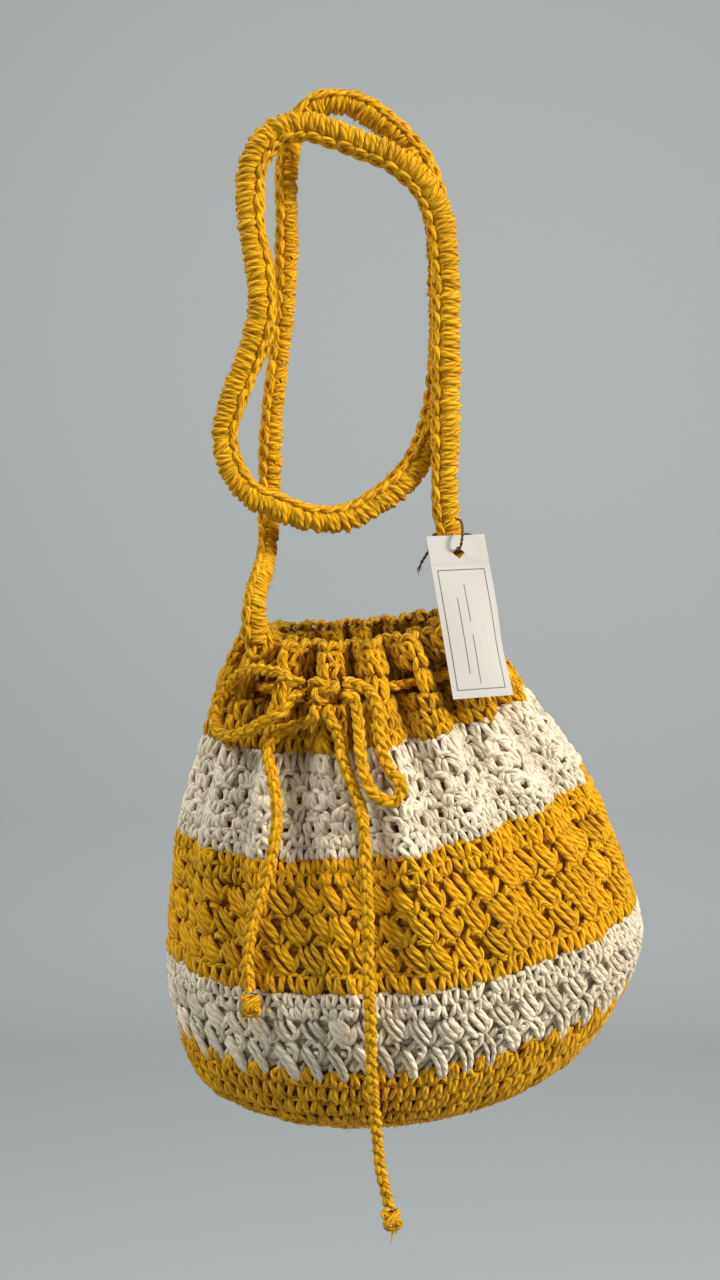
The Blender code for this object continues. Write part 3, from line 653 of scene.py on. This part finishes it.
class Nodes:
    """A short way to wire a material's nodes."""

    def __init__(self, name):
        self.material = bpy.data.materials.new(name)
        self.material.use_nodes = True
        self.tree = self.material.node_tree
        self.shader = self.tree.nodes["Principled BSDF"]

    def add(self, kind, inputs=(), **settings):
        node = self.tree.nodes.new(kind)
        for key, value in settings.items():
            setattr(node, key, value)
        for key, value in dict(inputs).items():
            if isinstance(value, bpy.types.NodeSocket):
                self.tree.links.new(value, node.inputs[key])
            else:
                node.inputs[key].default_value = value
        return node

    def math(self, operation, a, b=0.0, clamp=False):
        node = self.add("ShaderNodeMath", {0: a, 1: b}, operation=operation, use_clamp=clamp)
        return node.outputs[0]

    def mix(self, share, a, b, blend="MIX"):
        node = self.add("ShaderNodeMix", data_type="RGBA", blend_type=blend)
        for key, value in ((0, share), (6, a), (7, b)):
            if isinstance(value, bpy.types.NodeSocket):
                self.tree.links.new(value, node.inputs[key])
            else:
                node.inputs[key].default_value = value
        return node.outputs[2]

    def noise(self, scale, detail=2.0):
        """Noise that keeps its place on the piece."""
        place = self.add("ShaderNodeTexCoord")
        return self.add("ShaderNodeTexNoise", {"Vector": place.outputs["Object"], "Scale": scale,
                                               "Detail": detail}).outputs[0]

    def link(self, output, name):
        self.tree.links.new(output, self.shader.inputs[name])


def rgb(colour, scale=1.0):
    return (*(min(1.0, c * scale) for c in colour), 1.0)


def yarn_material(name, colour, shade, warm, twist=4.2, plies=3, sheen=0.08, bump=0.42):
    """Plied cotton: twist grooves along the yarn, loose fibres over them, and mottled dye."""
    n = Nodes(name)
    at = n.add("ShaderNodeUVMap", uv_map="yarn")
    parts = n.add("ShaderNodeSeparateXYZ", {0: at.outputs[0]})
    around, along = parts.outputs[0], parts.outputs[1]
    spiral = n.math("ADD", n.math("MULTIPLY", around, float(plies)), n.math("DIVIDE", along, twist))
    ply = n.math("ABSOLUTE", n.math("SINE", n.math("MULTIPLY", spiral, math.pi)))
    lay = n.add("ShaderNodeCombineXYZ",
                {0: n.math("MULTIPLY", spiral, 6.0), 1: n.math("MULTIPLY", along, 0.35)})
    fibre = n.add("ShaderNodeTexNoise",
                  {"Vector": lay.outputs[0], "Scale": 1.6, "Detail": 3.0, "Roughness": 0.6},
                  noise_dimensions="2D")
    dye = n.noise(70.0)
    tone = n.add("ShaderNodeAttribute", attribute_name="tone")
    # The twist grooves take the shade colour: painted shade between the plies
    depth = n.math("POWER", ply, 0.75, True)
    body = n.mix(depth, rgb(shade), rgb(colour))
    mottle = n.math("MULTIPLY", n.math("SUBTRACT", dye, 0.38, True), 1.6, True)
    body = n.mix(mottle, body, rgb(warm))
    # The attribute varies the yarn's brightness by random tone per stitch, and darkens it by painted shade
    # at deeper strands, pleat valleys, cores, the neck, the inside and the base
    light = n.math("ADD", n.math("MULTIPLY", fibre.outputs[0], 0.50),
                   n.math("MULTIPLY", tone.outputs["Fac"], 0.66))
    light = n.math("ADD", light, 0.40)
    grey = n.add("ShaderNodeCombineColor", {0: light, 1: light, 2: light})
    n.link(n.mix(1.0, body, grey.outputs[0], "MULTIPLY"), "Base Color")
    height = n.math("ADD", ply, n.math("MULTIPLY", fibre.outputs[0], 0.55))
    relief = n.add("ShaderNodeBump", {"Strength": 1.0, "Distance": bump * MM, "Height": height})
    n.link(relief.outputs[0], "Normal")
    rough = n.math("ADD", n.math("MULTIPLY", fibre.outputs[0], 0.2), 0.72)
    n.link(rough, "Roughness")
    n.shader.inputs["Specular IOR Level"].default_value = 0.08
    n.shader.inputs["Sheen Weight"].default_value = sheen
    n.shader.inputs["Sheen Roughness"].default_value = 0.5
    return n.material


def cloth_material(name, colour, shade):
    """The fabric's body: rows of stitch backs, a bump to each."""
    n = Nodes(name)
    at = n.add("ShaderNodeUVMap", uv_map="cell")
    parts = n.add("ShaderNodeSeparateXYZ", {0: at.outputs[0]})
    u, v = parts.outputs[0], parts.outputs[1]
    row = n.math("ABSOLUTE", n.math("SINE", n.math("MULTIPLY", v, math.pi * 2)))
    shifted = n.math("ADD", u, n.math("MULTIPLY", v, 0.5))
    knob = n.math("ABSOLUTE", n.math("SINE", n.math("MULTIPLY", shifted, math.pi)))
    grain = n.noise(900.0)
    bumps = n.math("MULTIPLY", n.math("POWER", row, 0.6), n.math("POWER", knob, 0.6))
    share = n.math("ADD", n.math("MULTIPLY", bumps, 0.7), n.math("MULTIPLY", grain, 0.3), True)
    # The crevices between the knobs take the shade colour: painted shade
    n.link(n.mix(share, rgb(shade), rgb(colour)), "Base Color")
    height = n.math("ADD", bumps, n.math("MULTIPLY", grain, 0.25))
    relief = n.add("ShaderNodeBump", {"Strength": 1.0, "Distance": 1.1 * MM, "Height": height})
    n.link(relief.outputs[0], "Normal")
    n.shader.inputs["Roughness"].default_value = 0.92
    n.shader.inputs["Specular IOR Level"].default_value = 0.15
    return n.material


def paper_material(name, colour):
    """Thin matt card with faint fibres, a little yellowed at random."""
    n = Nodes(name)
    pulp, cloud = n.noise(1400.0, 4.0), n.noise(90.0)
    base = n.mix(n.math("MULTIPLY", pulp, 0.5), rgb(colour), rgb(colour, 0.93))
    warm = (colour[0] * 0.98, colour[1] * 0.95, colour[2] * 0.90)
    n.link(n.mix(n.math("MULTIPLY", cloud, 0.5), base, rgb(warm)), "Base Color")
    relief = n.add("ShaderNodeBump", {"Strength": 0.35, "Distance": 0.03 * MM, "Height": pulp})
    n.link(relief.outputs[0], "Normal")
    n.shader.inputs["Roughness"].default_value = 0.62
    return n.material


def ink_material(name):
    n = Nodes(name)
    n.link(n.mix(n.noise(1600.0), (0.05, 0.05, 0.055, 1), (0.20, 0.19, 0.19, 1)), "Base Color")
    n.shader.inputs["Roughness"].default_value = 0.6
    return n.material


def stage_material(name, colour):
    """A plain matt surface with a hardly seen grain."""
    n = Nodes(name)
    grain = n.add("ShaderNodeTexNoise", {"Scale": 6.0, "Detail": 2.0})
    n.link(n.mix(n.math("MULTIPLY", grain.outputs[0], 0.25), rgb(colour), rgb(colour, 0.94)), "Base Color")
    n.shader.inputs["Roughness"].default_value = 0.95
    n.shader.inputs["Specular IOR Level"].default_value = 0.0
    return n.material


yellow = yarn_material("yarn_mustard", YARN_YELLOW, (0.50, 0.205, 0.003), (0.84, 0.405, 0.004))
cream = yarn_material("yarn_cream", YARN_CREAM, (0.77, 0.655, 0.47), (0.90, 0.77, 0.56))
brown = yarn_material("twine_brown", (0.20, 0.12, 0.055), (0.06, 0.03, 0.012), (0.15, 0.085, 0.035),
                      twist=1.1, plies=2, sheen=0.1, bump=0.12)
# The cloths are coloured darker than their yarns: painted shade of the depth behind the strands
yellow_back = cloth_material("cloth_mustard", (0.78, 0.38, 0.004), (0.46, 0.18, 0.002))
cream_back = cloth_material("cloth_cream", (0.86, 0.75, 0.56), (0.60, 0.49, 0.34))
paper = paper_material("paper_tag", (0.57, 0.545, 0.51))
ink = ink_material("ink_rules")


# Camera

CAMERA_PLACE = (0.00563, -0.49770, -0.14888)
CAMERA_AIM = (0.00563, 0.0, -0.19681)
camera_data = bpy.data.cameras.new("camera")
camera_data.sensor_fit = "VERTICAL"
camera_data.angle = 2 * math.atan(0.2496 / 0.5)
camera_data.clip_start = 0.01
camera_data.clip_end = 20.0
camera = bpy.data.objects.new("camera", camera_data)
bpy.context.scene.collection.objects.link(camera)
camera.location = CAMERA_PLACE
camera.rotation_euler = (Vector(CAMERA_AIM) - Vector(CAMERA_PLACE)).to_track_quat("-Z", "Y").to_euler()
bpy.context.scene.camera = camera


# Cords on the model

LEFT_FOOT, RIGHT_FOOT = -150.5, -15.5


def mustard(yarn, name):
    """The yarn as a piece of mustard cotton on the bag."""
    return yarn.mesh(name, yellow, "bag", "mustard_cotton")


def declare(piece, nodes):
    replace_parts(piece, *nodes)


rise = np.array([0.0, 0.0, 15.0])
left_seat, right_seat = rim_seat(LEFT_FOOT), rim_seat(RIGHT_FOOT)
strap_track = Track(smooth_route([left_seat, left_seat + rise, *STRAP_ROUTE, right_seat + rise, right_seat],
                                 1.2 * STRAP_DIAMETER))
strap = mustard(strap_yarn(strap_track, STRAP_DIAMETER), "strap_crochet")
feet_yarn = Yarn()
strap_foot(feet_yarn, strap_track, 0, LEFT_FOOT)
strap_foot(feet_yarn, strap_track, strap_track.length, RIGHT_FOOT)
feet = mustard(feet_yarn, "strap_feet")
declare(strap, ["strap"])

pleat = math.tau / PLEATS
steps = [0.6, *(0.5 * k for k in range(2, 2 * PLEATS - 1)), PLEATS - 0.6]
around = [one(KNOT_ANGLE + pleat * k, STRING_ROUND, 0.0) for k in steps]
edge, rear = 0.46 * KNOT_SIZE[0], 0.45 * KNOT_SIZE[1] + GAP
string_track = Track(smooth_route([
    beside_knot(edge, rear, 0.0), beside_knot(edge, 2 * rear, 0.0), *around,
    beside_knot(-edge, 2 * rear, 0.0), beside_knot(-edge, rear, 0.0)], 1.4 * STRING_DIAMETER), (0, 0, 1.0))
string = mustard(chain_yarn(string_track, STRING_DIAMETER), "drawstring_chain")
declare(string, ["drawstring"])

side, foot = KNOT_SIZE[0] / 2 + GAP, KNOT_SIZE[2] / 2 + GAP
step, lead = STRING_DIAMETER / 2 + GAP, 0.8 * STRING_DIAMETER
for name, way, route in (("bow_loop_left", -1, LOOP_LEFT_ROUTE), ("bow_loop_right", 1, LOOP_RIGHT_ROUTE)):
    out = [beside_knot(way * reach, 0.0, step) for reach in (side, side + lead)]
    back = [beside_knot(way * reach, 0.0, -step) for reach in (side + lead, side)]
    track = Track(smooth_route([*out, *route, *back], 1.6 * STRING_DIAMETER))
    loop = mustard(chain_yarn(track, STRING_DIAMETER), name + "_chain")
    declare(loop, [name])

for name, way, route, tuft in (("left", -1, TAIL_LEFT_ROUTE, 3), ("right", 1, TAIL_RIGHT_ROUTE, 6)):
    out = [beside_knot(way * step, 0.0, -reach) for reach in (foot, foot + lead)]
    points = [*out, *(np.array(p, float) for p in route)]
    track = Track(smooth_route(points, 2 * STRING_DIAMETER))
    down = points[-1] - points[-2]
    down = down / np.linalg.norm(down)
    middle = points[-1] + down * (END_KNOT / 2 + GAP)
    turn = np.array(Vector(down).to_track_quat("-Z", "Y").to_matrix())
    knot = mustard(knot_yarn(middle, turn, (8.0, 8.0, END_KNOT), 3, tuft), "end_knot_" + name + "_tied")
    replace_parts(knot, "end_knot_" + name)
    tail = mustard(chain_yarn(track, STRING_DIAMETER), "tail_" + name + "_chain")
    declare(tail, ["tail_" + name])

bow = mustard(knot_yarn(beside_knot(0, 0, 0), KNOT_TURN, KNOT_SIZE, 3), "bow_knot_tied")
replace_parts(bow, "bow_knot")

twine_track = Track(smooth_route(TWINE_ROUTE, 2 * TWINE_DIAMETER))
twine_yarn = Yarn()
s = np.linspace(0.0, twine_track.length, 150)
for k in range(2):
    a = s * math.tau / 3.4 + k * math.pi
    twine_yarn.tubes(twine_track.at(s, 0.30 * np.sin(a), 0.30 * np.cos(a))[None], 0.32)
fray = Yarn()
for k in range(7):
    t = np.linspace(0, 1, 5)[:, None]
    way = np.array([-0.45, -0.1, -0.85]) + rng.normal(0, 0.30, 3)
    hair = np.array(TWINE_ROUTE[0]) + way * t * (2.6 + rng.random())
    fray.tubes(hair[None], 0.22 - 0.12 * t[:, 0], sides=5)
frayed = fray.mesh("twine_frayed_end", brown, "bag", "brown_twine")
twine = twine_yarn.mesh("twine_twisted", brown, "bag", "brown_twine")
declare(twine, ["tag_string"])


# Bands

# Heights of rows, in rounds, and the width in millimetres that the base's stitches keep
TALL_ROW, BASE_ROW, BASE_ROWS, STITCH_WIDTH = 1.75, 1.09, 11, 4.9
every = np.arange(STITCHES, dtype=float)
pairs = np.arange(0, STITCHES, 2, dtype=float)


def zigzag(column):
    """0 at even columns and 1 at odd ones, straight between."""
    return 1 - np.abs(np.remainder(column, 2.0) - 1)


def lower_edge(column, rounds):
    return rounds + TOOTH * zigzag(column) * np.clip(rounds - (LOWER_END - 1), 0, 1)


def base_edge(column, rounds):
    return rounds + TOOTH * zigzag(column) * np.clip(1 - (rounds - LOWER_END) / 1.2, 0, 1)


LOOKS = {"mustard_cotton": (yellow, yellow_back), "cream_cotton": (cream, cream_back)}


def dress(name, yarn, slot, **sheet):
    """A band is its yarn, laid over its own cloth."""
    yarn.fuzz(2800)
    knit = yarn.mesh(name + "_stitches", LOOKS[slot][0], "bag", slot)
    cloth = wall_sheet(name + "_cloth", LOOKS[slot][1], "bag", slot, **sheet)
    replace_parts(knit, name)
    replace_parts(cloth, name)


# The neck's yarn is painted darker: painted shade
neck = Yarn(0.16)
neck.stitches(RIM, every, 0.0, 1.0, jitter=0.6)
for rounds, height in ((0.0, 0.85), (0.85, 0.8), (3.35, 0.88), (4.23, 0.88), (5.1, 0.88)):
    neck.stitches(SINGLE, every, rounds, height)
# The yarn inside the bag is painted darker: painted shade inside the bag
inside = Yarn(0.2)
for rounds, height in ((0.1, 0.8), (0.9, 0.8), (3.4, 1.25), (4.7, 1.25)):
    inside.stitches(SINGLE, every, rounds, height, face=-1)
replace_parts(mustard(inside, "neck_yellow_inside"), "neck_yellow")
posts = np.arange(0, STITCHES, 3, dtype=float)
for shift in (-0.42, 0.42):
    neck.stitches(POST, posts + shift, 1.65, 1.7, pitch=0.7)
dress("neck_yellow", neck, "mustard_cotton", columns=128, top=-0.9,
      rows=(0.0, 0.8, 1.65, 3.35, 4.2, 5.1, NECK_END - 0.05),
      gap=lambda c, r: 1.65 < r < 3.35 and 0.75 < c % 3 < 2.25)

upper = Yarn()
upper.stitches(SINGLE, every, NECK_END, 1.15)
for table, shift, rounds, height in ((PAIR, 0.5, 7.1, 1.1), (EYE, -0.5, 8.2, 1.0), (PAIR, 0.0, 9.15, 0.75),
                                     (EYE, 0.5, 9.85, 0.85)):
    upper.stitches(table, pairs + shift, rounds, height, radius=LOOSE)
upper.stitches(SINGLE, every, 10.7, 0.65)
upper.stitches(SINGLE, every + 0.5, 11.3, 0.7)
dress("band_cream_upper", upper, "cream_cotton", columns=192, shift=0.5,
      rows=(NECK_END, 7.2, 8.5, 8.98, 10.15, 10.56, 11.2, UPPER_END - 0.05),
      gap=lambda c, r: (8.5 < r < 8.98 and 0.2 < c % 2 < 0.8) or (10.15 < r < 10.56 and 1.2 < c % 2 < 1.8))

middle = Yarn()
middle.stitches(SINGLE, every, UPPER_END, 0.82)
middle.stitches(SINGLE, every + 0.5, 12.8, 0.82)
for k in range(3):
    middle.stitches(LOBE, pairs + k % 2, 13.6 + TALL_ROW * k, TALL_ROW, radius=LOOSE, jitter=1.3)
middle.stitches(SINGLE, every, 18.85, 1.15)
dress("band_yellow_middle", middle, "mustard_cotton", columns=96, top=-0.75,
      rows=np.linspace(UPPER_END, MIDDLE_END - 0.05, 9))

lower = Yarn()
lower.stitches(SINGLE, every, MIDDLE_END, 0.78)
lower.stitches(SINGLE, every + 0.5, 20.75, 0.78)
lower.stitches(LOBE, pairs, 21.5, TALL_ROW, radius=LOOSE, jitter=1.3)
lower.stitches(CROSS, pairs - 0.55, 23.25, TALL_ROW, radius=LOOSE, jitter=1.3, warp=lower_edge)
dress("band_cream_lower", lower, "cream_cotton", columns=96, top=-0.5, warp=lower_edge,
      rows=(MIDDLE_END, 21.0, 22.0, 23.0, 24.0, LOWER_END - 0.1))

# The base's yarn is painted darker: painted shade on the underside
base = Yarn(0.38)
for k in range(BASE_ROWS):
    rounds = LOWER_END + BASE_ROW * k
    ring = bag_points(np.linspace(0, math.tau, 49), np.full(49, rounds + 0.5))
    girth = np.linalg.norm(np.diff(ring, axis=0), axis=1).sum()
    many = STITCHES if k == 0 else max(5, round(girth / STITCH_WIDTH))
    pitch = STITCHES / many
    base.stitches(SINGLE, np.arange(many) * pitch, rounds, BASE_ROW, pitch=pitch, warp=base_edge,
                  lift=-0.8 if k == BASE_ROWS - 1 else 0.0)
dress("base_yellow", base, "mustard_cotton", columns=96, top=-0.9, warp=base_edge, closed=True,
      rows=(LOWER_END + 0.05, 26.1, 27.2, 28.3, 29.5, 31.0, 32.5, 34.0, 35.5, 36.7))


# Tag

TAG_WIDTH, TAG_LENGTH, TAG_HOLE, TAG_DROP = 23.0, 63.0, 5.0, 7.0
HOLE_Y = (TWINE_DIAMETER / 2 + 0.3) * math.sqrt(2) - TAG_HOLE / 2
TAG_TURN = (Matrix.Rotation(math.radians(15), 3, "Z") @ Matrix.Rotation(math.radians(-24), 3, "X")
            @ Matrix.Rotation(math.radians(-2), 3, "Y") @ Matrix.Rotation(math.radians(90), 3, "X"))
TAG_PLACE = Matrix.Translation(Vector(TAG_PIVOT) * MM) @ TAG_TURN.to_4x4()


def paper_curl(x, down):
    """How far the card stands off its plane: creased below the hole, bulging low at the right."""
    crease = -0.28 * math.exp(-((down - 12.2) / 1.3) ** 2)
    bow = 1.3 * math.sin(math.pi * min(max((down - 13.0) / 50.0, 0.0), 1.0))
    edge = max(x / (TAG_WIDTH / 2), 0.0) ** 2
    roll = 1.9 * edge * math.exp(-((down - 44.0) / 11.0) ** 2)
    return crease + bow * (1 - (x / (TAG_WIDTH / 2)) ** 2) * 0.55 - roll


def tag_piece(name, grid, material, lift, thickness):
    """A thin sheet over a grid of (x, down) cells, bent as the card is."""
    mesh = bmesh.new()
    seen = {}

    def vert(x, down, side):
        key = (round(x, 4), round(down, 4), side)
        if key not in seen:
            rise = paper_curl(x, down) + lift + side * thickness / 2
            seen[key] = mesh.verts.new((x * MM, (HOLE_Y + TAG_DROP - down) * MM, rise * MM))
        return seen[key]

    for cell in grid:
        mesh.faces.new([vert(x, d, 1) for x, d in cell])
        mesh.faces.new([vert(x, d, -1) for x, d in reversed(cell)])
    rim = dict.fromkeys(edge for cell in grid for edge in zip(cell, cell[1:] + cell[:1]))
    for a, b in rim:
        if (b, a) not in rim:
            mesh.faces.new([vert(*b, 1), vert(*a, 1), vert(*a, -1), vert(*b, -1)])
    for face in mesh.faces:
        face.smooth = thickness > 0.2 and len(face.verts) == 4 and abs(face.normal.z) > 0.5
    bmesh.ops.recalc_face_normals(mesh, faces=mesh.faces)
    data = bpy.data.meshes.new(name)
    mesh.to_mesh(data)
    mesh.free()
    return new_piece(name, data, material, "tag_card", TAG_PLACE)


def strips(x0, x1, top, bottom, step=2.5):
    """Cells of a strip that runs down the card, short enough to follow its bend."""
    downs = np.linspace(top, bottom, max(2, math.ceil((bottom - top) / step) + 1))
    return [((x0, a), (x1, a), (x1, b), (x0, b)) for a, b in zip(downs, downs[1:])]


def card_cells():
    """The whole card as cells, with a diamond left out for the hole."""
    half, left = TAG_HOLE / 2, -TAG_WIDTH / 2
    xs = [left, -8.5, -5.5, -half, 0.0, half, 5.5, 8.5, -left]
    downs = [0.0, 2.2, TAG_DROP - half, TAG_DROP, TAG_DROP + half, 11.0, 12.2, 13.4,
             *np.linspace(15.5, TAG_LENGTH, 20)]
    cells = []
    for a, b in zip(downs, downs[1:]):
        for x0, x1 in zip(xs, xs[1:]):
            box = [(x0, a), (x1, a), (x1, b), (x0, b)]
            if abs(x0 + x1) < 2 * half and abs(a + b - 2 * TAG_DROP) < 2 * half:
                inner = (0.0, TAG_DROP)
                box = [p for p in box if p != inner]
            cells.append(tuple(box))
    return cells


card = tag_piece("tag_card_paper", card_cells(), paper, 0.0, 0.4)
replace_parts(card, "tag")
line, frame_left, frame_right = 0.35, 2.0 - TAG_WIDTH / 2, TAG_WIDTH / 2 - 2.4
runop, frame_foot = 13.6, TAG_LENGTH - 2.9
rule_long, rule_short = 11.2 - TAG_WIDTH / 2, 7.7 - TAG_WIDTH / 2
rules = [*strips(frame_left, frame_left + line, runop, frame_foot),
         *strips(frame_right - line, frame_right, runop, frame_foot)]
for down in (runop, frame_foot - line):
    across = np.linspace(frame_left + line, frame_right - line, 8)
    for x0, x1 in zip(across, across[1:]):
        rules += strips(x0, x1, down, down + line)
rules += strips(rule_long, rule_long + 0.3, 19.5, 34.5) + strips(rule_long, rule_long + 0.3, 39.5, 58.0)
rules += strips(rule_short, rule_short + 0.3, 25.0, 54.0)
tag_piece("tag_rules", rules, ink, 0.22, 0.03)


# Stage and light

stage_look = stage_material("stage_grey", (0.58, 0.615, 0.63))
profile = [(-6.0, -1.0)]
profile += [(1.5 + 0.3 * math.sin(a), -0.7 - 0.3 * math.cos(a)) for a in np.linspace(0, math.pi / 2, 13)]
profile += [(1.8, 5.0)]
data = bpy.data.meshes.new("backdrop")
data.from_pydata([(x, y, z) for y, z in profile for x in (-6.0, 6.0)], [],
                 [(2 * k, 2 * k + 1, 2 * k + 3, 2 * k + 2) for k in range(len(profile) - 1)])
data.polygons.foreach_set("use_smooth", np.ones(len(data.polygons), bool))
data.materials.append(stage_look)
backdrop = bpy.data.objects.new("backdrop", data)
bpy.context.scene.collection.objects.link(backdrop)


def lamp(name, place, size, watts, colour):
    light = bpy.data.lights.new(name, "AREA")
    light.shape, light.size, light.energy, light.color = "DISK", size, watts, colour
    holder = bpy.data.objects.new(name, light)
    bpy.context.scene.collection.objects.link(holder)
    holder.location = place
    holder.rotation_euler = (Vector((0, 0, -0.25)) - Vector(place)).to_track_quat("-Z", "Y").to_euler()


lamp("key", (1.45, -0.74, 0.66), 0.5, 39.5, (1.0, 0.955, 0.88))
lamp("fill", (-1.2, -0.45, 1.15), 0.8, 23.0, (0.97, 0.985, 1.0))
world = bpy.data.worlds.new("world")
bpy.context.scene.world = world
world.use_nodes = True
world.node_tree.nodes["Background"].inputs[0].default_value = (0.97, 0.98, 1.0, 1.0)
world.node_tree.nodes["Background"].inputs[1].default_value = 0.18
bpy.context.scene.view_settings.view_transform = "Standard"
